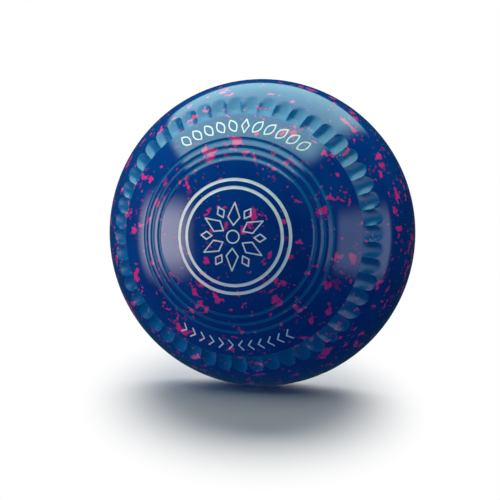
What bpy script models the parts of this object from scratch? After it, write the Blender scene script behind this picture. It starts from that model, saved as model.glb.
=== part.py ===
"""A lawn bowl of 124 mm, pressed from speckled composition, turned, dimpled, engraved and painted.

Metres, +Z up. The bowl stands on its running surface at z = 0 with its spin axis along Y. The side with
the large emblem faces -Y and the bias side, with the small emblem, faces +Y. The origin is on the ground
under the middle of the bowl.

Each side is drawn in a frame of its own, held by an empty in the middle of the bowl: its Z axis is the
spin axis and points out of that side, and its Y axis points up.
"""

from math import asin, cos, pi, radians, sin, sqrt, tau

import bmesh
import bpy
from mathutils import Matrix, Vector

MM = 0.001

# Body of the bowl
RUNNING_DIAMETER = 124.0 * MM
EMBLEM_HALF_WIDTH = 52.3 * MM
BIAS_HALF_WIDTH = 52.3 * MM
# The bias comes from the shape alone: the bias side keeps more material on its shoulder.
EMBLEM_FULLNESS = 2.06
BIAS_FULLNESS = 2.12
SHELL_WALL = 9.0 * MM
CORE_CLEARANCE = 0.3 * MM
JOINT_GAP = 0.3 * MM

# The face pattern is drawn for a 124 mm bowl and follows the running diameter.
DRAWN_DIAMETER = 124.0 * MM
FACE_MM = MM * RUNNING_DIAMETER / DRAWN_DIAMETER
CROWN_FLAT_RADIUS = 6.0 * FACE_MM
RIM_TO_DIMPLES = 8.0 * FACE_MM
DIMPLE_BAND = 6.8 * FACE_MM
MARK_BAND = 10.1 * FACE_MM
GROOVE_PITCH = 3.2 * FACE_MM
OUTER_RING_RADIUS = 21.75 * FACE_MM
RING_SPACING = 3.05 * FACE_MM
BIAS_RING_RADIUS = 13.0 * FACE_MM

# Grip: a ring of scooped dimples against a low step, and three turned grooves
DIMPLES = 50
DIMPLE_DEPTH = 0.9 * MM
DIMPLE_STEP = 0.4 * MM
DIMPLE_LEDGE = 0.3 * MM
DIMPLE_RIDGE = 0.3 * MM
GROOVES = 3
GROOVE_WIDTH = 1.0 * MM
GROOVE_DEPTH = 0.4 * MM

# Engraving and the paint that fills it
ENGRAVING_DEPTH = 0.7 * MM
PAINT_BELOW_FACE = 0.08 * MM
PAINT_CLEARANCE = 0.05 * MM
RING_WIDTH = 1.25 * MM
STROKE = 0.55 * MM

# Six-pointed star of open kites, with a small diamond in each notch and a ring in the middle
STAR_POINTS = 6
STAR_MARGIN = 5.7 * FACE_MM
STAR_ROOT = 4.4 * FACE_MM
STAR_WAIST = 7.4 * FACE_MM
STAR_POINT_WIDTH = 4.6 * FACE_MM
DIAMOND_RADIUS = 10.4 * FACE_MM
DIAMOND_LENGTH = 4.4 * FACE_MM
DIAMOND_WIDTH = 3.0 * FACE_MM
CENTRE_RING_RADIUS = 2.4 * FACE_MM
CENTRE_RING_CORNERS = 12
BIAS_STAR_SCALE = 0.62

# Garland of open leaves over the top, and a row of chevrons below
LEAF_PAIRS = 5
LEAF_LENGTH = 5.2 * FACE_MM
LEAF_WIDTH = 2.9 * FACE_MM
LEAF_PITCH = 4.9 * FACE_MM
LEAF_LEAN = radians(32)
LEAF_STEPS = 4
CHEVRON_PAIRS = 6
CHEVRON_HEIGHT = 4.0 * FACE_MM
CHEVRON_REACH = 1.7 * FACE_MM
CHEVRON_PITCH = 3.9 * FACE_MM

# One facet of the turned pieces for each dimple. The facets touch the true circle at their middles.
SEGMENTS = DIMPLES
OVER_FACET = 1 / cos(pi / SEGMENTS)
SCOOP_SIDES = 12
SCOOP_ROWS = 2
SOLE_ROWS = 5
CAVITY_ROWS = 4
WELD = 0.001 * MM

RUNNING_RADIUS = RUNNING_DIAMETER / 2
DIMPLE_OUTER = RUNNING_RADIUS - RIM_TO_DIMPLES
PLATEAU_EDGE = DIMPLE_OUTER - DIMPLE_BAND
OUTER_GROOVE = PLATEAU_EDGE - MARK_BAND
INNER_GROOVE = OUTER_GROOVE - GROOVE_PITCH * (GROOVES - 1)
MARK_RADIUS = (OUTER_GROOVE + GROOVE_WIDTH / 2 + PLATEAU_EDGE) / 2
INNER_RING_RADIUS = OUTER_RING_RADIUS - RING_SPACING
STAR_RADIUS = INNER_RING_RADIUS - STAR_MARGIN

PART_COLLECTION = "lawn_bowl"
CUTTER_COLLECTION = "lawn_bowl_cutters"


class Side:
    """One side of the bowl: a domed face whose radius and height follow one curve from rim to crown."""

    def __init__(self, half_width, fullness, ring_radii):
        self.half_width = half_width
        self.fullness = fullness
        self.ring_radii = ring_radii
        crown = 1 - (CROWN_FLAT_RADIUS / RUNNING_RADIUS) ** fullness
        self.rise = half_width / crown ** (1 / fullness)

    def height(self, radius):
        return self.rise * (1 - (radius / RUNNING_RADIUS) ** self.fullness) ** (1 / self.fullness)

    def radius(self, height):
        return RUNNING_RADIUS * (1 - (height / self.rise) ** self.fullness) ** (1 / self.fullness)

    def normal(self, radius):
        across = (radius / RUNNING_RADIUS) ** (self.fullness - 1) / RUNNING_RADIUS
        along = (self.height(radius) / self.rise) ** (self.fullness - 1) / self.rise
        return Vector((across, along)).normalized()

    def point(self, radius, depth=0.0):
        """The place on the face at this radius, or at a depth below it, as radius and height."""
        if radius <= CROWN_FLAT_RADIUS:
            return Vector((radius, self.half_width - depth))
        return Vector((radius, self.height(radius))) - depth * self.normal(radius)

    def sole(self):
        """The running surface from the dimples down to the joint."""
        start = asin(self.height(DIMPLE_OUTER) / self.rise)
        end = asin(JOINT_GAP / 2 / self.rise)
        angles = [start + (end - start) * row / SOLE_ROWS for row in range(SOLE_ROWS + 1)]
        return [Vector((self.radius(self.rise * sin(a)), self.rise * sin(a))) for a in angles]

    def inside(self, clearance):
        """The core's own dome, grown by a clearance, from its rim at the joint up to the axis."""
        across = RUNNING_RADIUS - SHELL_WALL + clearance
        along = self.half_width - SHELL_WALL + clearance
        start = asin(JOINT_GAP / 2 / along)
        angles = [start + (pi / 2 - start) * row / CAVITY_ROWS for row in range(CAVITY_ROWS)]
        return [Vector((across * cos(a), along * sin(a))) for a in angles] + [Vector((0, along))]

    def mark_rows(self):
        """Radii at which the plain part of the face bends, so that the paint bends with it."""
        middle = (CROWN_FLAT_RADIUS + INNER_RING_RADIUS) / 2
        shoulder = OUTER_GROOVE + GROOVE_WIDTH / 2
        return [CROWN_FLAT_RADIUS, middle, INNER_RING_RADIUS, shoulder, MARK_RADIUS, PLATEAU_EDGE]


def clear_scene():
    for item in list(bpy.data.objects):
        bpy.data.objects.remove(item)


def make_collection(name):
    collection = bpy.data.collections.new(name)
    bpy.context.scene.collection.children.link(collection)
    return collection


def make_material(name, colour, roughness):
    material = bpy.data.materials.new(name)
    material.use_nodes = True
    shader = material.node_tree.nodes["Principled BSDF"]
    shader.inputs["Base Color"].default_value = (*colour, 1)
    shader.inputs["Roughness"].default_value = roughness
    shader.inputs["Metallic"].default_value = 0
    return material


def add_object(name, mesh, collection, parent, material=None):
    item = bpy.data.objects.new(name, mesh)
    collection.objects.link(item)
    item.parent = parent
    if material:
        mesh.materials.append(material)
    else:
        item.hide_render = True
        item.display_type = "WIRE"
    return item


def as_mesh(item):
    """The shape of an object as its modifiers leave it. The object itself is removed."""
    graph = bpy.context.evaluated_depsgraph_get()
    mesh = bpy.data.meshes.new_from_object(item.evaluated_get(graph))
    bpy.data.objects.remove(item)
    return mesh


def turned(name, profile, closed, collection, parent, material=None, steps=SEGMENTS):
    """A profile of radius and height, turned round the Z axis."""
    mesh = bpy.data.meshes.new(name)
    count = len(profile)
    edges = [(i, i + 1) for i in range(count - 1)]
    if closed:
        edges.append((count - 1, 0))
    mesh.from_pydata([(p.x * OVER_FACET, 0, p.y) for p in profile], edges, [])
    item = add_object(name, mesh, collection, parent, material)
    screw = item.modifiers.new("turn", "SCREW")
    screw.axis = "Z"
    screw.angle = tau
    screw.steps = steps
    screw.render_steps = steps
    screw.use_merge_vertices = True
    screw.merge_threshold = WELD
    screw.use_smooth_shade = True
    return item


def cut(item, operation, other=None, collection=None):
    boolean = item.modifiers.new(operation.lower(), "BOOLEAN")
    boolean.operation = operation
    boolean.solver = "EXACT"
    if collection:
        boolean.operand_type = "COLLECTION"
        boolean.collection = collection
    else:
        boolean.object = other


# Turned pieces

def face_profile(side):
    """The plain face of one side with its ring channels, grooves and dimple step, from axis to joint."""
    profile = [Vector((0, side.half_width)), side.point(CROWN_FLAT_RADIUS)]
    outermost = max(side.ring_radii) + RING_WIDTH / 2
    innermost = min(side.ring_radii) - RING_WIDTH
    plain = [r for r in side.mark_rows() if CROWN_FLAT_RADIUS < r < innermost]
    profile += [side.point(r) for r in plain]
    for radius in sorted(side.ring_radii):
        near = radius - RING_WIDTH / 2
        far = radius + RING_WIDTH / 2
        profile += [side.point(near), side.point(near, ENGRAVING_DEPTH)]
        profile += [side.point(far, ENGRAVING_DEPTH), side.point(far)]
    profile.append(side.point((outermost + INNER_GROOVE) / 2))
    for index in range(GROOVES):
        radius = INNER_GROOVE + GROOVE_PITCH * index
        profile.append(side.point(radius - GROOVE_WIDTH / 2))
        profile.append(side.point(radius, GROOVE_DEPTH))
        profile.append(side.point(radius + GROOVE_WIDTH / 2))
    profile += [side.point(MARK_RADIUS), side.point(PLATEAU_EDGE)]
    profile.append(side.point(PLATEAU_EDGE, DIMPLE_STEP))
    return profile + side.sole()


def make_core(emblem_side, bias_side, collection, parent, material):
    """The plain core, whose two domes meet in the plane of the joint."""
    upper = emblem_side.inside(-CORE_CLEARANCE)
    lower = [Vector((p.x, -p.y)) for p in bias_side.inside(-CORE_CLEARANCE)]
    turned("composition_core", upper[::-1] + lower, False, collection, parent, material)


def make_ring(name, side, radius, collection, parent, material):
    near = radius - RING_WIDTH / 2 + PAINT_CLEARANCE
    far = radius + RING_WIDTH / 2 - PAINT_CLEARANCE
    bottom = ENGRAVING_DEPTH - PAINT_CLEARANCE
    profile = [side.point(near, PAINT_BELOW_FACE), side.point(far, PAINT_BELOW_FACE)]
    profile += [side.point(far, bottom), side.point(near, bottom)]
    turned(name, profile, True, collection, parent, material)


def make_layer(name, side, top, bottom, collection, parent):
    """The solid between two depths below the face, which gives a mark the face's own curve."""
    rows = [0.0] + side.mark_rows()
    upper = [side.point(r, top) for r in rows]
    lower = [side.point(r, bottom) for r in reversed(rows)]
    return turned(name, upper + lower, False, collection, parent)


# Dimples

def make_scoop(side):
    """A tapered ball-nosed cutter that lies along the face, from the ledge under the step outwards."""
    step = side.point(PLATEAU_EDGE, DIMPLE_STEP)
    end = side.point(DIMPLE_OUTER)
    along = (end - step).normalized()
    out = Vector((-along.y, along.x))
    inner_half = pi * PLATEAU_EDGE / DIMPLES - DIMPLE_RIDGE / 2
    outer_half = pi * (DIMPLE_OUTER - DIMPLE_BAND / 2) / DIMPLES - DIMPLE_RIDGE / 2
    shank = (inner_half ** 2 + DIMPLE_DEPTH ** 2) / 2 / DIMPLE_DEPTH
    ball = (outer_half ** 2 + DIMPLE_DEPTH ** 2) / 2 / DIMPLE_DEPTH
    foot = step + along * DIMPLE_LEDGE + out * (shank - DIMPLE_DEPTH)
    head = end - along * outer_half + out * (ball - DIMPLE_DEPTH)
    angles = [pi / 2 * row / SCOOP_ROWS for row in range(SCOOP_ROWS + 1)]
    profile = [Vector((ball * sin(a), ball * cos(a))) for a in angles]
    reach = (head - foot).length
    profile += [Vector((shank, -reach)), Vector((0, -reach))]
    mesh = as_mesh(turned("scoop", profile, False, bpy.context.scene.collection, None, steps=SCOOP_SIDES))
    axis = Vector((head.x - foot.x, 0, head.y - foot.y)).normalized()
    across = Vector((0, -1, 0))
    place = Matrix((across.cross(axis), across, axis)).transposed().to_4x4()
    place.translation = (head.x, 0, head.y)
    mesh.transform(place)
    return mesh


def make_scoops(name, side, first, collection, parent):
    """Every second scoop of the ring, so that the scoops in one cutter keep clear of each other."""
    scoop = make_scoop(side)
    ring = bmesh.new()
    for index in range(first, DIMPLES, 2):
        copy = scoop.copy()
        copy.transform(Matrix.Rotation(tau * (index + 0.5) / DIMPLES, 4, "Z"))
        ring.from_mesh(copy)
        bpy.data.meshes.remove(copy)
    bpy.data.meshes.remove(scoop)
    mesh = bpy.data.meshes.new(name)
    ring.to_mesh(mesh)
    ring.free()
    return add_object(name, mesh, collection, parent)


# Engraved marks. A mark is a list of loops: its outer edge, then the edges of its holes.

def offset(points, distance):
    """A closed anticlockwise loop moved outwards by a distance, with mitred corners."""
    moved = []
    for index, point in enumerate(points):
        before = (point - points[index - 1]).normalized()
        after = (points[(index + 1) % len(points)] - point).normalized()
        first = Vector((before.y, -before.x))
        second = Vector((after.y, -after.x))
        moved.append(point + (first + second) * distance / (1 + first.dot(second)))
    return moved


def open_mark(points):
    """A line of the stroke's width round a closed outline."""
    return [offset(points, STROKE / 2), offset(points, -STROKE / 2)]


def grown(loops, distance):
    return [offset(loops[0], distance)] + [offset(loop, -distance) for loop in loops[1:]]


def placed(loops, radius, angle, lean=0.0, mirror=False):
    """Loops drawn round their own middle, leant over, moved up to a radius and swung clockwise."""
    result = []
    for loop in loops:
        points = [Matrix.Rotation(-lean, 2) @ p + Vector((0, radius)) for p in loop]
        points = [Matrix.Rotation(-angle, 2) @ p for p in points]
        if mirror:
            points = [Vector((-p.x, p.y)) for p in reversed(points)]
        result.append(points)
    return result


def diamond(length, width):
    side = Vector((width / 2, 0))
    tip = Vector((0, length / 2))
    return [side, tip, -side, -tip]


def leaf():
    """Two equal arcs that meet at the leaf's points."""
    steps = [2 * step / LEAF_STEPS - 1 for step in range(LEAF_STEPS)]
    right = [Vector((LEAF_WIDTH / 2 * (1 - t * t), LEAF_LENGTH / 2 * t)) for t in steps]
    return right + [-p for p in right]


def chevron():
    """A bent bar of the stroke's width, whose bend points to the left."""
    half = CHEVRON_HEIGHT / 2
    thick = STROKE * sqrt(half ** 2 + CHEVRON_REACH ** 2) / half
    near = -(CHEVRON_REACH + thick) / 2
    far = near + CHEVRON_REACH
    points = [(near, 0), (far, -half), (far + thick, -half)]
    points += [(near + thick, 0), (far + thick, half), (far, half)]
    return [Vector(p) for p in points]


def star_marks(prefix, scale):
    waist = STAR_POINT_WIDTH / 2
    kite = [(waist, STAR_WAIST), (0, STAR_RADIUS), (-waist, STAR_WAIST), (0, STAR_ROOT)]
    kite = [Vector(p) * scale for p in kite]
    # Half a corner round, so that no corner falls on an edge between two facets of the turned face
    corners = [tau * (corner + 0.5) / CENTRE_RING_CORNERS for corner in range(CENTRE_RING_CORNERS)]
    ring = [Vector((cos(a), sin(a))) * CENTRE_RING_RADIUS * scale for a in corners]
    marks = {f"{prefix}_centre_ring_paint": open_mark(ring)}
    for index in range(STAR_POINTS):
        marks[f"{prefix}_point_paint_{index + 1}"] = placed(open_mark(kite), 0, tau * index / STAR_POINTS)
    return marks


def notch_marks():
    marks = {}
    for index in range(STAR_POINTS):
        loops = open_mark(diamond(DIAMOND_LENGTH, DIAMOND_WIDTH))
        angle = tau * (index + 0.5) / STAR_POINTS
        marks[f"star_diamond_paint_{index + 1}"] = placed(loops, DIAMOND_RADIUS, angle)
    return marks


def garland_marks():
    marks = {"garland_middle_paint": placed(open_mark(diamond(LEAF_LENGTH, LEAF_WIDTH)), MARK_RADIUS, 0)}
    for index in range(1, LEAF_PAIRS + 1):
        angle = index * LEAF_PITCH / MARK_RADIUS
        for hand, mirror in (("right", False), ("left", True)):
            loops = placed(open_mark(leaf()), MARK_RADIUS, angle, LEAF_LEAN, mirror)
            marks[f"garland_{hand}_leaf_paint_{index}"] = loops
    return marks


def chevron_marks():
    marks = {}
    for index in range(CHEVRON_PAIRS):
        angle = pi + (index + 0.5) * CHEVRON_PITCH / MARK_RADIUS
        for hand, mirror in (("left", False), ("right", True)):
            marks[f"{hand}_chevron_paint_{index + 1}"] = placed([chevron()], MARK_RADIUS, angle, 0, mirror)
    return marks


def prism(name, loops, low, high):
    """The mesh of a flat outline with holes, standing between two heights."""
    curve = bpy.data.curves.new(name, "CURVE")
    curve.dimensions = "2D"
    curve.fill_mode = "BOTH"
    curve.extrude = (high - low) / 2
    for loop in loops:
        spline = curve.splines.new("POLY")
        spline.points.add(len(loop) - 1)
        for corner, point in zip(spline.points, loop):
            corner.co = (point.x, point.y, 0, 1)
        spline.use_cyclic_u = True
    item = bpy.data.objects.new(name, curve)
    bpy.context.scene.collection.objects.link(item)
    mesh = as_mesh(item)
    mesh.transform(Matrix.Translation((0, 0, (high + low) / 2)))
    shape = bmesh.new()
    shape.from_mesh(mesh)
    bmesh.ops.remove_doubles(shape, verts=shape.verts, dist=WELD)
    bmesh.ops.recalc_face_normals(shape, faces=shape.faces)
    shape.to_mesh(mesh)
    shape.free()
    return mesh


def engrave(shell, side, marks, name, collection, cutters, parent, material):
    """Cuts the marks into the shell and fills each with paint that stays a little below the face."""
    depth = ENGRAVING_DEPTH
    low = side.height(PLATEAU_EDGE) - 2 * depth
    high = side.half_width + 2 * depth
    groove_layer = make_layer(f"{name}_groove_layer", side, -depth, depth, cutters, parent)
    floor = depth - PAINT_CLEARANCE
    paint_layer = make_layer(f"{name}_paint_layer", side, PAINT_BELOW_FACE, floor, cutters, parent)
    grooves = bpy.data.collections.new(f"{name}_grooves")
    cutters.children.link(grooves)
    for mark, loops in marks.items():
        wide = prism(f"{mark}_groove", grown(loops, PAINT_CLEARANCE), low, high)
        cut(add_object(f"{mark}_groove", wide, grooves, parent), "INTERSECT", groove_layer)
        paint = add_object(mark, prism(mark, loops, low, high), collection, parent, material)
        cut(paint, "INTERSECT", paint_layer)
    cut(shell, "DIFFERENCE", collection=grooves)


def make_shell(name, side, collection, cutters, parent, material):
    """One pressed half of the speckled shell, open at the joint, with its dimples cut."""
    profile = face_profile(side) + side.inside(0)
    shell = turned(name, profile, False, collection, parent, material)
    for first, half in enumerate(("odd", "even")):
        cut(shell, "DIFFERENCE", make_scoops(f"{name}_{half}_scoops", side, first, cutters, parent))
    return shell


def make_frame(name, facing, collection):
    """An empty in the middle of the bowl whose Z axis points out of one side."""
    frame = bpy.data.objects.new(name, None)
    collection.objects.link(frame)
    frame.location = (0, 0, RUNNING_RADIUS)
    frame.rotation_euler = (pi / 2, 0, facing)
    return frame


def main():
    clear_scene()
    parts = make_collection(PART_COLLECTION)
    cutters = make_collection(CUTTER_COLLECTION)
    shell_blue = make_material("speckled blue composition", (0.003, 0.028, 0.19), 0.15)
    core_grey = make_material("plain core composition", (0.05, 0.045, 0.04), 0.7)
    cream = make_material("cream engraving paint", (0.61, 0.6, 0.52), 0.45)
    emblem_frame = make_frame("emblem_side", 0, parts)
    bias_frame = make_frame("bias_side", pi, parts)
    bpy.context.view_layer.update()

    emblem = Side(EMBLEM_HALF_WIDTH, EMBLEM_FULLNESS, (OUTER_RING_RADIUS, INNER_RING_RADIUS))
    bias = Side(BIAS_HALF_WIDTH, BIAS_FULLNESS, (BIAS_RING_RADIUS,))
    make_core(emblem, bias, parts, emblem_frame, core_grey)

    shell = make_shell("emblem_side_shell", emblem, parts, cutters, emblem_frame, shell_blue)
    make_ring("outer_ring_paint", emblem, OUTER_RING_RADIUS, parts, emblem_frame, cream)
    make_ring("inner_ring_paint", emblem, INNER_RING_RADIUS, parts, emblem_frame, cream)
    marks = star_marks("star", 1) | notch_marks() | garland_marks() | chevron_marks()
    engrave(shell, emblem, marks, "emblem_side", parts, cutters, emblem_frame, cream)

    shell = make_shell("bias_side_shell", bias, parts, cutters, bias_frame, shell_blue)
    make_ring("bias_ring_paint", bias, BIAS_RING_RADIUS, parts, bias_frame, cream)
    marks = star_marks("bias_star", BIAS_STAR_SCALE)
    engrave(shell, bias, marks, "bias_side", parts, cutters, bias_frame, cream)


main()
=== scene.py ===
"""The looks of a lawn bowl of speckled composition: two polished shell halves with a ring of dimples and
turned grooves, the engraved marks, the paint that fills them, and a plain studio.

Metres, +Z up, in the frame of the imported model: the bowl stands at z = 0 with its spin axis along Y. Each
side is drawn flat with its Z axis out of the side and its Y axis up, and is then stood in its place.
"""

from math import asin, atan2, ceil, cos, pi, radians, sin, tau

import bpy
import numpy as np
from mathutils import Euler, Matrix, Quaternion, Vector


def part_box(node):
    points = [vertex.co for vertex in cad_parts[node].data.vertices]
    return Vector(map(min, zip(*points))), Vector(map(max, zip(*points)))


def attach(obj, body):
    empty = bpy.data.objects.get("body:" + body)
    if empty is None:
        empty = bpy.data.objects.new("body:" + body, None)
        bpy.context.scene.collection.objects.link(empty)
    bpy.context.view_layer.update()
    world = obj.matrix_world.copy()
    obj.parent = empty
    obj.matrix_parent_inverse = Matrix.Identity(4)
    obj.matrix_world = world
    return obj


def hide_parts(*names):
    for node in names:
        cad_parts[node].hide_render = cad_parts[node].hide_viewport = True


MM = 0.001

# The frame gives the size of the bowl. The pattern on its face is drawn for a bowl of 124 mm.
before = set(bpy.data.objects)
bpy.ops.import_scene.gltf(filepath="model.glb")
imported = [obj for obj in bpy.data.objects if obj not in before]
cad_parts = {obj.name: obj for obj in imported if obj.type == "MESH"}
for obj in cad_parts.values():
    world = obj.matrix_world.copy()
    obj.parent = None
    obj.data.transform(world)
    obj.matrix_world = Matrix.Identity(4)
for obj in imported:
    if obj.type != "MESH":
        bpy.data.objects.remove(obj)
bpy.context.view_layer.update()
EMBLEM_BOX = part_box("emblem_side_shell")
BIAS_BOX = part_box("bias_side_shell")
RUNNING_RADIUS = (EMBLEM_BOX[1].z - EMBLEM_BOX[0].z) / 2
MIDDLE = Vector((0, 0, (EMBLEM_BOX[1].z + EMBLEM_BOX[0].z) / 2))
EMBLEM_HALF_WIDTH = -EMBLEM_BOX[0].y
BIAS_HALF_WIDTH = BIAS_BOX[1].y
DRAWN_RADIUS = 62.0 * MM
FACE_MM = MM * RUNNING_RADIUS / DRAWN_RADIUS

# Body
EMBLEM_FULLNESS = 2.06
BIAS_FULLNESS = 2.12
SHELL_WALL = 9.0 * MM

# Grip: dimples scooped against a turned step, and three turned grooves
DIMPLES = 50
DIMPLE_OUTER = RUNNING_RADIUS - 8.0 * FACE_MM
PLATEAU_EDGE = DIMPLE_OUTER - 6.8 * FACE_MM
DIMPLE_DEPTH = 1.45 * MM
DIMPLE_HEEL = 0.3
DIMPLE_STEP = 0.6 * MM
DIMPLE_NOSE = 0.6
SCOOP_ACROSS = 2.2
SCOOP_ALONG = 2.1
STEP_LIP = 0.25 * MM
GROOVES = 3
GROOVE_PITCH = 3.2 * FACE_MM
GROOVE_WIDTH = 1.0 * MM
GROOVE_DEPTH = 0.4 * MM
GROOVE_LIP = 0.3 * MM
OUTER_GROOVE = PLATEAU_EDGE - 10.1 * FACE_MM
INNER_GROOVE = OUTER_GROOVE - GROOVE_PITCH * (GROOVES - 1)
MARK_RADIUS = (OUTER_GROOVE + GROOVE_WIDTH / 2 + PLATEAU_EDGE) / 2

# Engraving, and the paint that settles a little below the face
ENGRAVING_DEPTH = 0.7 * MM
RING_WIDTH = 1.25 * MM
OUTER_RING = 21.75 * FACE_MM
INNER_RING = OUTER_RING - 3.05 * FACE_MM
BIAS_RING = 13.0 * FACE_MM
STROKE = 0.55 * MM
PAINT_DEPTH = ENGRAVING_DEPTH * 0.9
PAINT_BELOW_FACE = 0.05 * MM
PAINT_DISH = 0.06 * MM
PAINT_FIT = 0.01 * MM

# Star, garland and chevrons
STAR_POINTS = 6
STAR_RADIUS = INNER_RING - 5.7 * FACE_MM
STAR_ROOT = 4.4 * FACE_MM
STAR_WAIST = 7.4 * FACE_MM
STAR_POINT_WIDTH = 4.6 * FACE_MM
DIAMOND_RADIUS = 10.4 * FACE_MM
DIAMOND_LENGTH = 4.4 * FACE_MM
DIAMOND_WIDTH = 3.0 * FACE_MM
CENTRE_RING_RADIUS = 2.4 * FACE_MM
BIAS_STAR_SCALE = 0.62
LEAF_PAIRS = 5
LEAF_LENGTH = 5.2 * FACE_MM
LEAF_WIDTH = 2.9 * FACE_MM
LEAF_PITCH = 4.9 * FACE_MM
LEAF_LEAN = radians(32)
CHEVRON_PAIRS = 6
CHEVRON_HEIGHT = 4.0 * FACE_MM
CHEVRON_REACH = 1.7 * FACE_MM
CHEVRON_PITCH = 3.9 * FACE_MM

# How finely things are drawn. The columns of a dimple are gathered towards its edges.
COLUMNS_A_DIMPLE = 10
GATHERED_COLUMNS = (0, 0.27, 0.54, 0.79, 0.95, 1)
RING_COLUMNS = 180
ROW = 0.27 * MM
GROOVE_ROW = 0.125
CROWN_ROW = 1.6 * MM
LAND_ROW = 1.4 * MM
LIP_STEP = pi / 8
SOLE_STEP = radians(1.2)
JOINT_ROW = 0.05 * MM
WALL_STEP = radians(7)
POLE_RADIUS = 0.4 * MM
CURVE_STEP = 0.3 * MM
SHARP_CORNER = radians(20)
TURNED_BACK = cos(radians(177))
CORNER_STEP = radians(15)
END_STEP = radians(18)
RING_STEP = radians(5)
SMOOTH_ANGLE = radians(28)
WELD = 0.002 * MM

# What is left satin by the cutter: the dimples, and the grooves to a little past their width. Its edge is
# gradual, over a quarter of the shape of a dimple and over the feather of a groove.
MACHINED_RISE = 4
GROOVE_REACH = GROOVE_WIDTH / 2 + 0.1 * MM
GROOVE_FEATHER = 0.3 * MM
COLUMN_SLACK = 1e-4
BAND_SLACK = 0.004
STEP_FOOT = DIMPLE_STEP * 0.9


# Outline of one side

class Side:
    """One side of the bowl: a domed face whose radius and height follow one curve from rim to axis."""

    def __init__(self, half_width, fullness, ring_radii, facing):
        self.half_width = half_width
        self.fullness = fullness
        self.ring_radii = ring_radii
        self.place = Matrix.Translation(MIDDLE) @ Euler((pi / 2, 0, facing)).to_matrix().to_4x4()

    def height(self, radius):
        share = np.clip(radius / RUNNING_RADIUS, 0, 1)
        return self.half_width * (1 - share ** self.fullness) ** (1 / self.fullness)

    def radius(self, height):
        return RUNNING_RADIUS * (1 - (height / self.half_width) ** self.fullness) ** (1 / self.fullness)

    def normal(self, radius):
        across = (radius / RUNNING_RADIUS) ** (self.fullness - 1) / RUNNING_RADIUS
        along = (self.height(radius) / self.half_width) ** (self.fullness - 1) / self.half_width
        return Vector((across, along)).normalized()

    def point(self, radius, depth=0.0):
        """The place on the face at this radius, or at a depth below it, as radius and height."""
        return Vector((radius, self.height(radius))) - depth * self.normal(radius)


def spread(start, end, step):
    """Evenly spaced numbers from the start up to the end, about a step apart, without the end itself."""
    count = max(1, ceil(abs(end - start) / step))
    return [start + (end - start) * index / count for index in range(count)]


def groove_depth(across):
    """The depth of a groove with a round floor and buffed lips, at a share of its half width."""
    return GROOVE_DEPTH * (1 - across ** 2) ** 1.5


def groove_rows(side, radius):
    half = GROOVE_WIDTH / 2 + GROOVE_LIP
    shares = spread(-1, 1, GROOVE_ROW) + [1]
    return [side.point(radius + half * share, groove_depth(share)) for share in shares]


def channel_rows(side, radius):
    """A square channel for a painted ring."""
    near = radius - RING_WIDTH / 2
    far = radius + RING_WIDTH / 2
    rows = [side.point(near), side.point(near, ENGRAVING_DEPTH)]
    return rows + [side.point(far, ENGRAVING_DEPTH), side.point(far)]


def face_rows(side):
    """The face from just off the axis to the plateau's edge, with its channels and grooves."""
    rows = []
    edge = POLE_RADIUS
    for radius in sorted(side.ring_radii):
        rows += [side.point(r) for r in spread(edge, radius - RING_WIDTH / 2, CROWN_ROW)]
        rows += channel_rows(side, radius)
        edge = radius + RING_WIDTH / 2 + ROW
    for index in range(GROOVES):
        radius = INNER_GROOVE + GROOVE_PITCH * index
        lip = radius - GROOVE_WIDTH / 2 - GROOVE_LIP
        rows += [side.point(r) for r in spread(edge, lip, LAND_ROW)]
        rows += groove_rows(side, radius)
        edge = radius + GROOVE_WIDTH / 2 + GROOVE_LIP + ROW
    return rows + [side.point(r) for r in spread(edge, PLATEAU_EDGE - STEP_LIP, LAND_ROW)]


def band_depth(along):
    """How far the lands between the dimples lie below the dome: a step at the plateau that runs out."""
    return DIMPLE_STEP * (1 - along) ** 1.5


def band_rows(side):
    """The rounded lip of the plateau, the step down and the band that the dimples are scooped in."""
    rows = []
    for angle in spread(0, pi / 2, LIP_STEP):
        inwards = STEP_LIP * (1 - sin(angle))
        rows.append(side.point(PLATEAU_EDGE - inwards, STEP_LIP * (1 - cos(angle))))
    length = (side.point(DIMPLE_OUTER) - side.point(PLATEAU_EDGE)).length
    for along in spread(0, 1, ROW / length):
        radius = PLATEAU_EDGE + (DIMPLE_OUTER - PLATEAU_EDGE) * along
        rows.append(side.point(radius, band_depth(along)))
    return rows


def sole_rows(side):
    """The running surface down to the joint, where the two halves meet without a step."""
    start = asin(side.height(DIMPLE_OUTER) / side.half_width)
    heights = [side.half_width * sin(angle) for angle in spread(start, 0, SOLE_STEP)]
    return [Vector((side.radius(h), h)) for h in heights + [JOINT_ROW, 0]]


def wall_rows(side):
    """The inside of the shell, from the joint up to just off the axis."""
    across = RUNNING_RADIUS - SHELL_WALL
    along = side.half_width - SHELL_WALL
    angles = spread(0, pi / 2, WALL_STEP)
    return [Vector((across * cos(a), along * sin(a))) for a in angles]


# Modelling

def deselect():
    for item in bpy.context.selected_objects:
        item.select_set(False)


def start_mesh(name):
    """A new piece in edit mode, holding one vertex at the origin."""
    deselect()
    bpy.ops.mesh.primitive_plane_add(size=MM)
    piece = bpy.context.object
    piece.name = piece.data.name = name
    bpy.ops.object.mode_set(mode="EDIT")
    bpy.ops.mesh.select_all(action="SELECT")
    bpy.ops.mesh.merge(type="CENTER")
    return piece


def apply_modifier(piece, modifier):
    deselect()
    piece.select_set(True)
    bpy.context.view_layer.objects.active = piece
    bpy.ops.object.modifier_apply(modifier=modifier.name)


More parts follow.
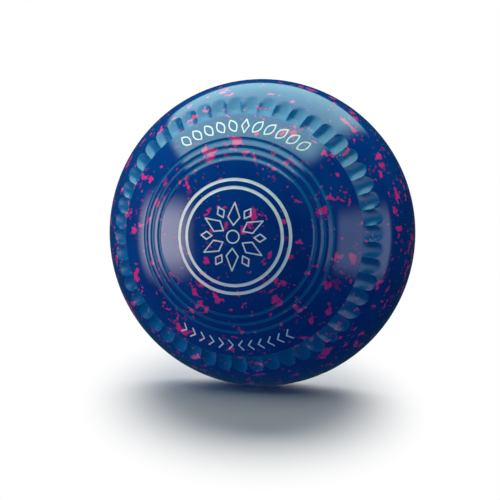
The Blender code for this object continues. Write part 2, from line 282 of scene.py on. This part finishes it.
def lathe(name, rows, steps):
    """A profile traced by extruding a vertex from row to row, then turned round the Z axis."""
    piece = start_mesh(name)
    place = Vector((0, 0, 0))
    for index, row in enumerate(rows):
        target = Vector((row.x, 0, row.y))
        if index == 0:
            bpy.ops.transform.translate(value=target)
        else:
            bpy.ops.mesh.extrude_region_move(TRANSFORM_OT_translate={"value": target - place})
        place = target
    bpy.ops.object.mode_set(mode="OBJECT")
    turn = piece.modifiers.new("turn", "SCREW")
    turn.steps = turn.render_steps = steps
    turn.use_merge_vertices = True
    turn.merge_threshold = WELD
    apply_modifier(piece, turn)
    bpy.ops.object.mode_set(mode="EDIT")
    bpy.ops.mesh.select_all(action="SELECT")
    bpy.ops.mesh.remove_doubles(threshold=WELD)
    bpy.ops.object.mode_set(mode="OBJECT")
    return piece


def close_poles(piece):
    """Fills what is open round the axis and points all faces outwards."""
    bpy.ops.object.mode_set(mode="EDIT")
    bpy.ops.mesh.select_all(action="DESELECT")
    bpy.ops.mesh.select_non_manifold()
    bpy.ops.mesh.fill_holes(sides=0)
    bpy.ops.mesh.poke()
    bpy.ops.mesh.select_all(action="SELECT")
    bpy.ops.mesh.normals_make_consistent(inside=False)
    bpy.ops.object.mode_set(mode="OBJECT")


def coordinates(mesh):
    points = np.empty(len(mesh.vertices) * 3, np.float64)
    mesh.vertices.foreach_get("co", points)
    return points.reshape(-1, 3)


def set_coordinates(mesh, points):
    mesh.vertices.foreach_set("co", points.ravel())
    mesh.update()


def finish_piece(piece, side, node, angle=SMOOTH_ANGLE):
    """Stands a piece that was drawn flat in its place on the bowl, and hides the CAD node that it stands
    for.
    """
    piece.data.transform(side.place)
    deselect()
    piece.select_set(True)
    bpy.context.view_layer.objects.active = piece
    bpy.ops.object.shade_smooth_by_angle(angle=angle)
    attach(piece, "root")
    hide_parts(node)


# Shell halves

def scoop_shape(across, along):
    """How far inside a dimple's outline a place is: 1 on its middle line, 0 on its edge."""
    nose = np.clip((along - 1 + DIMPLE_NOSE) / DIMPLE_NOSE, 0, 1)
    return 1 - np.abs(across) ** SCOOP_ACROSS - nose ** SCOOP_ALONG


def scoop_dimples(mesh, side):
    """Gathers the columns at the ridges, sinks the dimples into their band and marks what is machined."""
    points = coordinates(mesh)
    radius = np.hypot(points[:, 0], points[:, 1])
    share = np.arctan2(points[:, 1], points[:, 0]) / tau * DIMPLES
    index = np.floor(share + COLUMN_SLACK)
    column = (share - index) * 2 - 1
    uniform = np.linspace(0, 1, len(GATHERED_COLUMNS))
    across = np.sign(column) * np.interp(np.abs(column), uniform, GATHERED_COLUMNS)
    angle = (index + (across + 1) / 2) / DIMPLES * tau
    along = (radius - PLATEAU_EDGE) / (DIMPLE_OUTER - PLATEAU_EDGE)
    below = side.height(radius) - points[:, 2]
    outside = points[:, 2] > side.height(DIMPLE_OUTER) - ROW
    foot = (along > BAND_SLACK) | (below > STEP_FOOT)
    band = outside & foot & (along > -BAND_SLACK) & (along < 1)

    shape = scoop_shape(across, along)
    heel = DIMPLE_HEEL + (1 - DIMPLE_HEEL) * np.clip(along / (1 - DIMPLE_NOSE), 0, 1)
    depth = np.where(band, DIMPLE_DEPTH * heel * np.clip(shape, 0, 1), 0)
    machined = np.where(band, np.clip(0.5 + shape * MACHINED_RISE, 0, 1), 0)
    for number in range(GROOVES):
        off_groove = np.abs(radius - INNER_GROOVE - GROOVE_PITCH * number)
        groove = np.clip(0.5 + (GROOVE_REACH - off_groove) / GROOVE_FEATHER, 0, 1)
        machined = np.maximum(machined, np.where(outside, groove, 0))

    lean = [side.normal(r) if sunk else (0, 0) for r, sunk in zip(radius, band)]
    lean = np.array(lean)
    radius = radius - depth * lean[:, 0]
    points[:, 2] -= depth * lean[:, 1]
    points[:, 0] = radius * np.cos(angle)
    points[:, 1] = radius * np.sin(angle)
    set_coordinates(mesh, points)
    mesh.attributes.new("machined", "FLOAT", "POINT").data.foreach_set("value", machined)


def make_shell(node, side, marks, composition):
    rows = face_rows(side) + band_rows(side) + sole_rows(side) + wall_rows(side)
    shell = lathe(f"{node}_skin", rows, DIMPLES * COLUMNS_A_DIMPLE)
    close_poles(shell)
    scoop_dimples(shell.data, side)
    engrave(shell, side, marks)
    shell.data.materials.append(composition)
    finish_piece(shell, side, node)


# Engraved marks. A mark is a list of loops: its outer edge, then the edges of its holes.

def offset(points, distance, rounded=False):
    """A closed anticlockwise loop moved outwards by a distance, with mitred or rounded corners."""
    moved = []
    for index, point in enumerate(points):
        before = (point - points[index - 1]).normalized()
        after = (points[(index + 1) % len(points)] - point).normalized()
        first = Vector((before.y, -before.x))
        second = Vector((after.y, -after.x))
        turn = atan2(before.cross(after), before.dot(after))
        if rounded and turn > SHARP_CORNER:
            for angle in spread(0, turn, CORNER_STEP) + [turn]:
                moved.append(point + Matrix.Rotation(angle, 2) @ first * distance)
        else:
            moved.append(point + (first + second) * distance / (1 + first.dot(second)))
    return moved


def open_mark(points):
    """A line of the stroke's width round a closed outline, as a round cutter leaves it."""
    return [offset(points, STROKE / 2, rounded=True), offset(points, -STROKE / 2)]


def placed(loops, radius, angle, lean=0.0, mirror=False):
    """Loops drawn round their own middle, leant over, moved up to a radius and swung clockwise."""
    result = []
    for loop in loops:
        points = [Matrix.Rotation(-lean, 2) @ p + Vector((0, radius)) for p in loop]
        points = [Matrix.Rotation(-angle, 2) @ p for p in points]
        if mirror:
            points = [Vector((-p.x, p.y)) for p in reversed(points)]
        result.append(points)
    return result


def diamond(length, width):
    """A diamond round the middle, with its points up and down."""
    side = Vector((width / 2, 0))
    tip = Vector((0, length / 2))
    return [side, tip, -side, -tip]


def leaf():
    """Two equal arcs that meet at the leaf's points."""
    heights = spread(-1, 1, 2 * CURVE_STEP / LEAF_LENGTH)
    right = [Vector((LEAF_WIDTH / 2 * (1 - t * t), LEAF_LENGTH / 2 * t)) for t in heights]
    return right + [-p for p in right]


def stroke(path):
    """The outline of an open line of the stroke's width, with round ends and corners."""
    loop = path + path[-2:0:-1]
    outline = []
    for index, point in enumerate(loop):
        before = (point - loop[index - 1]).normalized()
        after = (loop[(index + 1) % len(loop)] - point).normalized()
        first = Vector((before.y, -before.x))
        turned_back = before.dot(after) < TURNED_BACK
        turn = pi if turned_back else atan2(before.cross(after), before.dot(after))
        if turn > 0:
            for angle in spread(0, turn, END_STEP) + [turn]:
                outline.append(point + Matrix.Rotation(angle, 2) @ first * STROKE / 2)
        else:
            second = Vector((after.y, -after.x))
            outline.append(point + (first + second) * STROKE / 2 / (1 + first.dot(second)))
    return outline


def chevron_loops():
    half = CHEVRON_HEIGHT / 2 - STROKE / 4
    far = CHEVRON_REACH / 2
    return [stroke([Vector((far, half)), Vector((-far, 0)), Vector((far, -half))])]


def star_marks(prefix, scale):
    """Open kites that point outwards, round an open ring."""
    waist = STAR_POINT_WIDTH / 2
    kite = [(waist, STAR_WAIST), (0, STAR_RADIUS), (-waist, STAR_WAIST), (0, STAR_ROOT)]
    kite = [Vector(p) * scale for p in kite]
    corners = spread(0, tau, RING_STEP)
    ring = [Vector((cos(a), sin(a))) * CENTRE_RING_RADIUS * scale for a in corners]
    marks = {f"{prefix}_centre_ring_paint": open_mark(ring)}
    for index in range(STAR_POINTS):
        loops = placed(open_mark(kite), 0, tau * index / STAR_POINTS)
        marks[f"{prefix}_point_paint_{index + 1}"] = loops
    return marks


def notch_marks():
    """A small open diamond between each two points of the star."""
    marks = {}
    for index in range(STAR_POINTS):
        loops = open_mark(diamond(DIAMOND_LENGTH, DIAMOND_WIDTH))
        angle = tau * (index + 0.5) / STAR_POINTS
        marks[f"star_diamond_paint_{index + 1}"] = placed(loops, DIAMOND_RADIUS, angle)
    return marks


def garland_marks():
    """Open leaves in an arc over the top, the same on both sides of a diamond."""
    middle = open_mark(diamond(LEAF_LENGTH, LEAF_WIDTH))
    marks = {"garland_middle_paint": placed(middle, MARK_RADIUS, 0)}
    for index in range(1, LEAF_PAIRS + 1):
        angle = index * LEAF_PITCH / MARK_RADIUS
        for hand, mirror in (("right", False), ("left", True)):
            loops = placed(open_mark(leaf()), MARK_RADIUS, angle, LEAF_LEAN, mirror)
            marks[f"garland_{hand}_leaf_paint_{index}"] = loops
    return marks


def chevron_marks():
    """Chevrons in an arc along the bottom that point to its middle."""
    marks = {}
    for index in range(CHEVRON_PAIRS):
        angle = pi + (index + 0.5) * CHEVRON_PITCH / MARK_RADIUS
        for hand, mirror in (("left", False), ("right", True)):
            loops = placed(chevron_loops(), MARK_RADIUS, angle, 0, mirror)
            marks[f"{hand}_chevron_paint_{index + 1}"] = loops
    return marks


def prism(name, loops, side, top, bottom):
    """A flat outline with holes, made solid between two depths below the face."""
    curve = bpy.data.curves.new(name, "CURVE")
    curve.dimensions = "2D"
    curve.fill_mode = "BOTH"
    curve.extrude = 1
    for loop in loops:
        spline = curve.splines.new("POLY")
        spline.points.add(len(loop) - 1)
        for corner, point in zip(spline.points, loop):
            corner.co = (point.x, point.y, 0, 1)
        spline.use_cyclic_u = True
    piece = bpy.data.objects.new(name, curve)
    bpy.context.scene.collection.objects.link(piece)
    deselect()
    piece.select_set(True)
    bpy.context.view_layer.objects.active = piece
    bpy.ops.object.convert(target="MESH")
    piece = bpy.context.object
    bpy.ops.object.mode_set(mode="EDIT")
    bpy.ops.mesh.select_all(action="SELECT")
    bpy.ops.mesh.remove_doubles(threshold=WELD)
    bpy.ops.mesh.normals_make_consistent(inside=False)
    bpy.ops.object.mode_set(mode="OBJECT")
    points = coordinates(piece.data)
    radius = np.hypot(points[:, 0], points[:, 1])
    depth = np.where(points[:, 2] > 0, top, bottom)
    points[:, 2] = side.height(radius) - depth
    set_coordinates(piece.data, points)
    return piece


def engrave(shell, side, marks):
    """Cuts the marks' grooves into a shell half."""
    cutters = [prism(f"{name}_groove", loops, side, -ENGRAVING_DEPTH, ENGRAVING_DEPTH)
               for name, loops in marks.items()]
    deselect()
    for cutter in cutters:
        cutter.select_set(True)
    bpy.context.view_layer.objects.active = cutters[0]
    bpy.ops.object.join()
    cutter = bpy.context.object
    cut = shell.modifiers.new("engraving", "BOOLEAN")
    cut.operation = "DIFFERENCE"
    cut.solver = "EXACT"
    cut.object = cutter
    apply_modifier(shell, cut)
    bpy.data.objects.remove(cutter)


def make_mark(node, loops, side, paint):
    piece = prism(f"{node}_fill", loops, side, PAINT_BELOW_FACE, PAINT_DEPTH)
    piece.data.materials.append(paint)
    finish_piece(piece, side, node)


def make_ring(node, radius, side, paint):
    """The paint in a ring channel, dished as it dried."""
    near = radius - RING_WIDTH / 2 + PAINT_FIT
    far = radius + RING_WIDTH / 2 - PAINT_FIT
    rows = []
    for share in spread(-1, 1, 1 / 3) + [1]:
        place = (near + far) / 2 + (far - near) / 2 * share
        rows.append(side.point(place, PAINT_BELOW_FACE + PAINT_DISH * (1 - share ** 2)))
    rows += [side.point(far, PAINT_DEPTH), side.point(near, PAINT_DEPTH), rows[0]]
    piece = lathe(f"{node}_fill", rows, RING_COLUMNS)
    bpy.ops.object.mode_set(mode="EDIT")
    bpy.ops.mesh.select_all(action="SELECT")
    bpy.ops.mesh.normals_make_consistent(inside=False)
    bpy.ops.object.mode_set(mode="OBJECT")
    piece.data.materials.append(paint)
    finish_piece(piece, side, node)


# Materials

MIX_FACTOR, MIX_A, MIX_B, MIX_RESULT = 0, 6, 7, 2

# Each kind of chip: the size of its noise, the level that the noise has to pass, and its shift
LARGE_CHIPS = (4.4 * MM, 0.784, 0.0)
SMALL_CHIPS = (1.8 * MM, 0.85, 0.37)
SUNKEN_CHIPS = (2.4 * MM, 0.815, 0.11)
SUNKEN_SHARE = 0.3
CHIP_EDGE = 0.025
CLUSTER_SIZE = 11 * MM
CROWDING = 0.3
MOTTLE_SIZE = 16 * MM
TINT_SIZE = 5 * MM
BRUSHING_SIZE = 2.5 * MM
GRAIN_SIZE = 0.8 * MM
GRAIN_HEIGHT = 0.1 * MM


def linear(colour):
    """An sRGB colour in hexadecimal as linear red, green, blue and alpha."""
    values = [int(colour[i:i + 2], 16) / 255 for i in (1, 3, 5)]
    values = [v / 12.92 if v <= 0.04045 else ((v + 0.055) / 1.055) ** 2.4 for v in values]
    return (*values, 1)


def add_node(tree, kind, inputs=None, **settings):
    """Adds a shader node with its settings, and sets or links its inputs."""
    item = tree.nodes.new(f"ShaderNode{kind}")
    for name, value in settings.items():
        setattr(item, name, value)
    for name, value in (inputs or {}).items():
        if isinstance(value, bpy.types.NodeSocket):
            tree.links.new(value, item.inputs[name])
        else:
            item.inputs[name].default_value = value
    return item


def new_material(name):
    material = bpy.data.materials.new(name)
    material.use_nodes = True
    tree = material.node_tree
    return material, tree, tree.nodes["Principled BSDF"]


def edge_fade(tree, value, low, high):
    """Rises smoothly from 0 at the low value to 1 at the high one."""
    ranges = {"Value": value, "From Min": low, "From Max": high}
    return add_node(tree, "MapRange", ranges, interpolation_type="SMOOTHSTEP").outputs[0]


def noise(tree, place, size, detail):
    """The level of a cloudy pattern whose clouds are about a size across."""
    inputs = {"Vector": place, "Scale": 1 / size, "Detail": detail}
    return add_node(tree, "TexNoise", inputs).outputs["Fac"]


def chips(tree, place, clusters, kind):
    """A mask of chips of one kind, which crowd together where the clusters are dense."""
    size, level, shift = kind
    moved = add_node(tree, "VectorMath", {0: place, 1: (shift, shift * 2, -shift)}, operation="ADD")
    field = noise(tree, moved.outputs[0], size, 2.0)
    crowded = add_node(tree, "Math", {0: clusters, 1: CROWDING, 2: field}, operation="MULTIPLY_ADD")
    ranges = {"Value": crowded.outputs[0], "From Min": level, "From Max": level + CHIP_EDGE}
    return add_node(tree, "MapRange", ranges).outputs[0]


def mix_colour(tree, factor, first, second):
    inputs = {MIX_FACTOR: factor, MIX_A: first, MIX_B: second}
    return add_node(tree, "Mix", inputs, data_type="RGBA").outputs[MIX_RESULT]


def speckle(tree, place, blue, deep_blue, chip_red, chip_pink):
    """The colour of pressed thermoset powder: blue, with crimson chips of 0.4 to 4 mm all through it."""
    clusters = noise(tree, place, CLUSTER_SIZE, 1.0)
    mottle = noise(tree, place, MOTTLE_SIZE, 3.0)
    body = mix_colour(tree, mottle, linear(deep_blue), linear(blue))
    sunken = chips(tree, place, clusters, SUNKEN_CHIPS)
    faint = add_node(tree, "Math", {0: sunken, 1: SUNKEN_SHARE}, operation="MULTIPLY")
    body = mix_colour(tree, faint.outputs[0], body, linear(chip_red))
    large = chips(tree, place, clusters, LARGE_CHIPS)
    small = chips(tree, place, clusters, SMALL_CHIPS)
    both = add_node(tree, "Math", {0: large, 1: small}, operation="MAXIMUM")
    tint = noise(tree, place, TINT_SIZE, 2.0)
    chip = mix_colour(tree, tint, linear(chip_red), linear(chip_pink))
    return mix_colour(tree, both.outputs[0], body, chip)


def speckled_composition():
    # Buffed to a hard wet-looking gloss that mirrors the lamps with clean edges, but satin and paler
    # in the dimples and grooves, where it is left as the cutter made it
    material, tree, shader = new_material("speckled_composition")
    place = add_node(tree, "TexCoord").outputs["Object"]
    cut = add_node(tree, "Attribute", attribute_name="machined").outputs["Fac"]
    machined = edge_fade(tree, cut, 0.4, 0.6)
    buffed = speckle(tree, place, "#044280", "#022066", "#d80c5e", "#f03c88")
    satin = speckle(tree, place, "#006092", "#004a7a", "#cc2868", "#e86898")
    tree.links.new(mix_colour(tree, machined, buffed, satin), shader.inputs["Base Color"])
    for name, polish, rough in (("Roughness", 0.09, 0.3), ("Specular IOR Level", 0.5, 0.36)):
        finish = add_node(tree, "MapRange", {"Value": machined, "To Min": polish, "To Max": rough})
        tree.links.new(finish.outputs[0], shader.inputs[name])
    shader.inputs["IOR"].default_value = 1.52
    return material


def engraving_enamel():
    """Brushed-in cream enamel: off-white, a little uneven, with a soft sheen."""
    material, tree, shader = new_material("cream_enamel")
    place = add_node(tree, "TexCoord").outputs["Object"]
    cloud = noise(tree, place, BRUSHING_SIZE, 3.0)
    colour = mix_colour(tree, cloud, linear("#e2c8be"), linear("#ffe8de"))
    tree.links.new(colour, shader.inputs["Base Color"])
    shader.inputs["Roughness"].default_value = 0.4
    return material


def core_composition():
    """Plain dark composition with a coarse, matt pressed face."""
    material, tree, shader = new_material("plain_core_composition")
    place = add_node(tree, "TexCoord").outputs["Object"]
    grain = noise(tree, place, GRAIN_SIZE, 4.0)
    colour = mix_colour(tree, grain, linear("#26221f"), linear("#3d3731"))
    tree.links.new(colour, shader.inputs["Base Color"])
    bump = add_node(tree, "Bump", {"Height": grain, "Distance": GRAIN_HEIGHT, "Strength": 0.5})
    tree.links.new(bump.outputs[0], shader.inputs["Normal"])
    shader.inputs["Roughness"].default_value = 0.75
    return material


# Studio

CAMERA_DISTANCE = 0.8
CAMERA_AZIMUTH = radians(12.1)
CAMERA_ELEVATION = radians(2.3)
CAMERA_ROLL = radians(2.5)
LENS = 142.3
CAMERA_SHIFT = (-0.0238, -0.0348)
SENSOR = 36

# Outside an ellipse that is long towards the camera the floor glows white, a painted lit floor that trims
# the bowl's shadow there. Its faint warmth and the coolness of its lamps cancel out where it is lit, and
# keep the room's blue fill out of the shadow.
SHADOW_SHARES = (1 / 0.069, 1 / 0.259, 0)
PAINTED_GLOW_FADE = (0.46, 1)
FLOOR_RADIUS = 4
FLOOR_COLOUR = (0.8, 0.74, 0.62, 1)
FLOOR_LAMP_COLOUR = (1, 1.08, 1.29)
FLOOR_LAMP_DISTANCE = 2

# The blue fill of the room: where it comes from, how strong it is opposite and there, and the share of
# it that the polish mirrors
FILL_COLOUR = (0.1, 0.52, 1, 1)
FILL_SIDE = (-0.7, 0, -0.5)
FILL_SPAN = (-0.5, 0.7)
FILL_LEVELS = (0.1, 0.78)
MIRRORED_SHARE = 0.18


def direction(azimuth, elevation):
    """The direction from the bowl, turned from -Y towards +X and raised above the ground."""
    flat = cos(elevation)
    return Vector((sin(azimuth) * flat, -cos(azimuth) * flat, sin(elevation)))


def make_camera():
    bpy.ops.object.camera_add()
    camera = bpy.context.object
    out = direction(CAMERA_AZIMUTH, CAMERA_ELEVATION)
    camera.location = MIDDLE + out * CAMERA_DISTANCE
    camera.rotation_mode = "QUATERNION"
    camera.rotation_quaternion = (-out).to_track_quat("-Z", "Y") @ Quaternion((0, 0, 1), CAMERA_ROLL)
    camera.data.lens = LENS
    camera.data.sensor_width = SENSOR
    camera.data.shift_x, camera.data.shift_y = CAMERA_SHIFT
    bpy.context.scene.camera = camera


def make_floor():
    """A pale floor that glows white beyond an ellipse round the bowl, a painted lit floor that trims its
    shadow.
    """
    deselect()
    bpy.ops.mesh.primitive_circle_add(vertices=96, radius=FLOOR_RADIUS, fill_type="NGON")
    floor = bpy.context.object
    floor.name = "floor"
    material, tree, shader = new_material("matt_floor_with_painted_glow")
    shader.inputs["Base Color"].default_value = FLOOR_COLOUR
    shader.inputs["Roughness"].default_value = 1
    shader.inputs["Specular IOR Level"].default_value = 0
    place = add_node(tree, "TexCoord").outputs["Object"]
    turned = add_node(tree, "VectorRotate", {"Vector": place, "Angle": -CAMERA_AZIMUTH})
    sides = {0: turned.outputs[0], 1: SHADOW_SHARES}
    shares = add_node(tree, "VectorMath", sides, operation="MULTIPLY")
    far = add_node(tree, "VectorMath", {0: shares.outputs[0]}, operation="LENGTH")
    fade = edge_fade(tree, far.outputs["Value"], *PAINTED_GLOW_FADE)
    # Painted light: the floor glows white outside the ellipse, which cuts the bowl's shadow off there
    white = add_node(tree, "Emission", {"Color": (1, 1, 1, 1), "Strength": 1.0})
    both = add_node(tree, "MixShader", {0: fade, 1: shader.outputs[0], 2: white.outputs[0]})
    tree.links.new(both.outputs[0], tree.nodes["Material Output"].inputs["Surface"])
    floor.data.materials.append(material)
    floor.visible_glossy = False
    floor.visible_diffuse = False
    return floor


def light_only(lamp, name, item, state):
    """Lets a lamp light an item alone, or everything but that item."""
    receivers = bpy.data.collections.new(name)
    receivers.objects.link(item)
    receivers.collection_objects[0].light_linking.link_state = state
    lamp.light_linking.receiver_collection = receivers


def make_soft_box(name, place, size, colour, strength, soft, far_share=1.0):
    """A glowing panel that faces the bowl, with a share of its strength at its top edge. Soft is how far
    each edge fades, as a share of the panel: left, right, bottom and top."""
    deselect()
    bpy.ops.mesh.primitive_plane_add(size=1)
    box = bpy.context.object
    box.name = name
    box.location = MIDDLE + place
    box.scale = (*size, 1)
    box.rotation_mode = "QUATERNION"
    box.rotation_quaternion = place.to_track_quat("-Z", "Y")
    material, tree, _ = new_material(f"{name}_glow")
    split = add_node(tree, "SeparateXYZ", {0: add_node(tree, "TexCoord").outputs["Object"]})
    across, along = split.outputs[0], split.outputs[1]
    left, right, bottom, top = soft
    glow = edge_fade(tree, across, -0.5, -0.5 + left)
    for value, edge, fade in ((across, 0.5, -right), (along, -0.5, bottom), (along, 0.5, -top)):
        inner = edge_fade(tree, value, edge, edge + fade)
        glow = add_node(tree, "Math", {0: glow, 1: inner}, operation="MULTIPLY").outputs[0]
    ranges = {"Value": along, "From Min": -0.5, "From Max": 0.5}
    levels = {"To Min": strength, "To Max": strength * far_share}
    level = add_node(tree, "MapRange", ranges | levels)
    glow = add_node(tree, "Math", {0: glow, 1: level.outputs[0]}, operation="MULTIPLY").outputs[0]
    lamp = add_node(tree, "Emission", {"Color": (*colour, 1), "Strength": glow})
    tree.links.new(lamp.outputs[0], tree.nodes["Material Output"].inputs["Surface"])
    box.data.materials.append(material)
    box.visible_camera = False
    box.visible_shadow = False
    return box


def make_floor_lamp(name, azimuth, elevation, size, power):
    """A lamp for the floor alone, which throws the bowl's soft shadow."""
    bpy.ops.object.light_add(type="AREA")
    lamp = bpy.context.object
    lamp.name = name
    lamp.data.shape = "DISK"
    lamp.data.size = size
    lamp.data.energy = power
    lamp.data.color = FLOOR_LAMP_COLOUR
    out = direction(azimuth, elevation)
    lamp.location = MIDDLE + out * FLOOR_LAMP_DISTANCE
    lamp.rotation_mode = "QUATERNION"
    lamp.rotation_quaternion = out.to_track_quat("Z", "Y")
    lamp.visible_camera = False
    lamp.visible_glossy = False
    return lamp


def make_lights(floor):
    """Three soft boxes for the bowl alone, and two lamps for the floor alone."""
    overhead = make_soft_box(
        "overhead_box", Vector((0, 0, 1)), size=(2.15, 2.4), colour=(0.53, 0.95, 0.86), strength=5.7,
        soft=(0.13, 0.1, 0.2, 0.03), far_share=0.37)
    overhead.location += Vector((-0.28, 0.3, 0))
    # Laid face down with its top edge to the back
    overhead.rotation_quaternion = (0, 0, 1, 0)
    left = make_soft_box(
        "left_box", direction(radians(-61), radians(-5)), size=(1.0, 0.95), colour=(1.0, 0.95, 1.0),
        strength=5.6, soft=(0.3, 0.28, 0.42, 0.35))
    right = make_soft_box(
        "right_box", direction(radians(84), radians(-3)), size=(1.15, 0.9), colour=(0.75, 0.92, 1.25),
        strength=1.5, soft=(0.1, 0.08, 0.3, 0.3))
    for box in (overhead, left, right):
        light_only(box, f"{box.name}_receivers", floor, "EXCLUDE")
    behind = CAMERA_AZIMUTH + radians(181)
    back = make_floor_lamp("back_floor_lamp", behind, radians(22), size=2, power=86)
    above = make_floor_lamp("overhead_floor_lamp", 0, radians(85), size=3.2, power=27)
    for lamp in (back, above):
        light_only(lamp, f"{lamp.name}_receivers", floor, "INCLUDE")


def make_world():
    """White behind the bowl, and a blue fill from below and the left that its polish mirrors faintly."""
    world = bpy.context.scene.world or bpy.data.worlds.new("room")
    bpy.context.scene.world = world
    world.use_nodes = True
    tree = world.node_tree
    tree.nodes.clear()
    path = add_node(tree, "LightPath")
    shares = {"Value": path.outputs["Is Glossy Ray"], "To Min": 1, "To Max": MIRRORED_SHARE}
    mirrored = add_node(tree, "MapRange", shares)
    white = add_node(tree, "Background", {"Color": (1, 1, 1, 1), "Strength": 1.0})
    look = add_node(tree, "TexCoord").outputs["Generated"]
    side = add_node(tree, "VectorMath", {0: look, 1: FILL_SIDE}, operation="DOT_PRODUCT")
    span = {"Value": side.outputs["Value"], "From Min": FILL_SPAN[0], "From Max": FILL_SPAN[1]}
    level = add_node(tree, "MapRange", span | {"To Min": FILL_LEVELS[0], "To Max": FILL_LEVELS[1]})
    level = add_node(tree, "Math", {0: level.outputs[0], 1: mirrored.outputs[0]}, operation="MULTIPLY")
    room = add_node(tree, "Background", {"Color": FILL_COLOUR, "Strength": level.outputs[0]})
    parts = {0: path.outputs["Is Camera Ray"], 1: room.outputs[0], 2: white.outputs[0]}
    both = add_node(tree, "MixShader", parts)
    output = add_node(tree, "OutputWorld", {"Surface": both.outputs[0]})
    output.is_active_output = True


def make_bowl():
    """Both shell halves with their paint, and the finish of the core, whose CAD shape stays."""
    composition = speckled_composition()
    paint = engraving_enamel()
    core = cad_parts["composition_core"]
    core.data.materials.clear()
    core.data.materials.append(core_composition())

    emblem = Side(EMBLEM_HALF_WIDTH, EMBLEM_FULLNESS, (OUTER_RING, INNER_RING), 0)
    marks = star_marks("star", 1) | notch_marks() | garland_marks() | chevron_marks()
    make_shell("emblem_side_shell", emblem, marks, composition)
    make_ring("outer_ring_paint", OUTER_RING, emblem, paint)
    make_ring("inner_ring_paint", INNER_RING, emblem, paint)
    for node, loops in marks.items():
        make_mark(node, loops, emblem, paint)

    bias = Side(BIAS_HALF_WIDTH, BIAS_FULLNESS, (BIAS_RING,), pi)
    marks = star_marks("bias_star", BIAS_STAR_SCALE)
    make_shell("bias_side_shell", bias, marks, composition)
    make_ring("bias_ring_paint", BIAS_RING, bias, paint)
    for node, loops in marks.items():
        make_mark(node, loops, bias, paint)


make_bowl()
make_lights(make_floor())
make_world()
make_camera()
bpy.context.scene.view_settings.view_transform = "Standard"
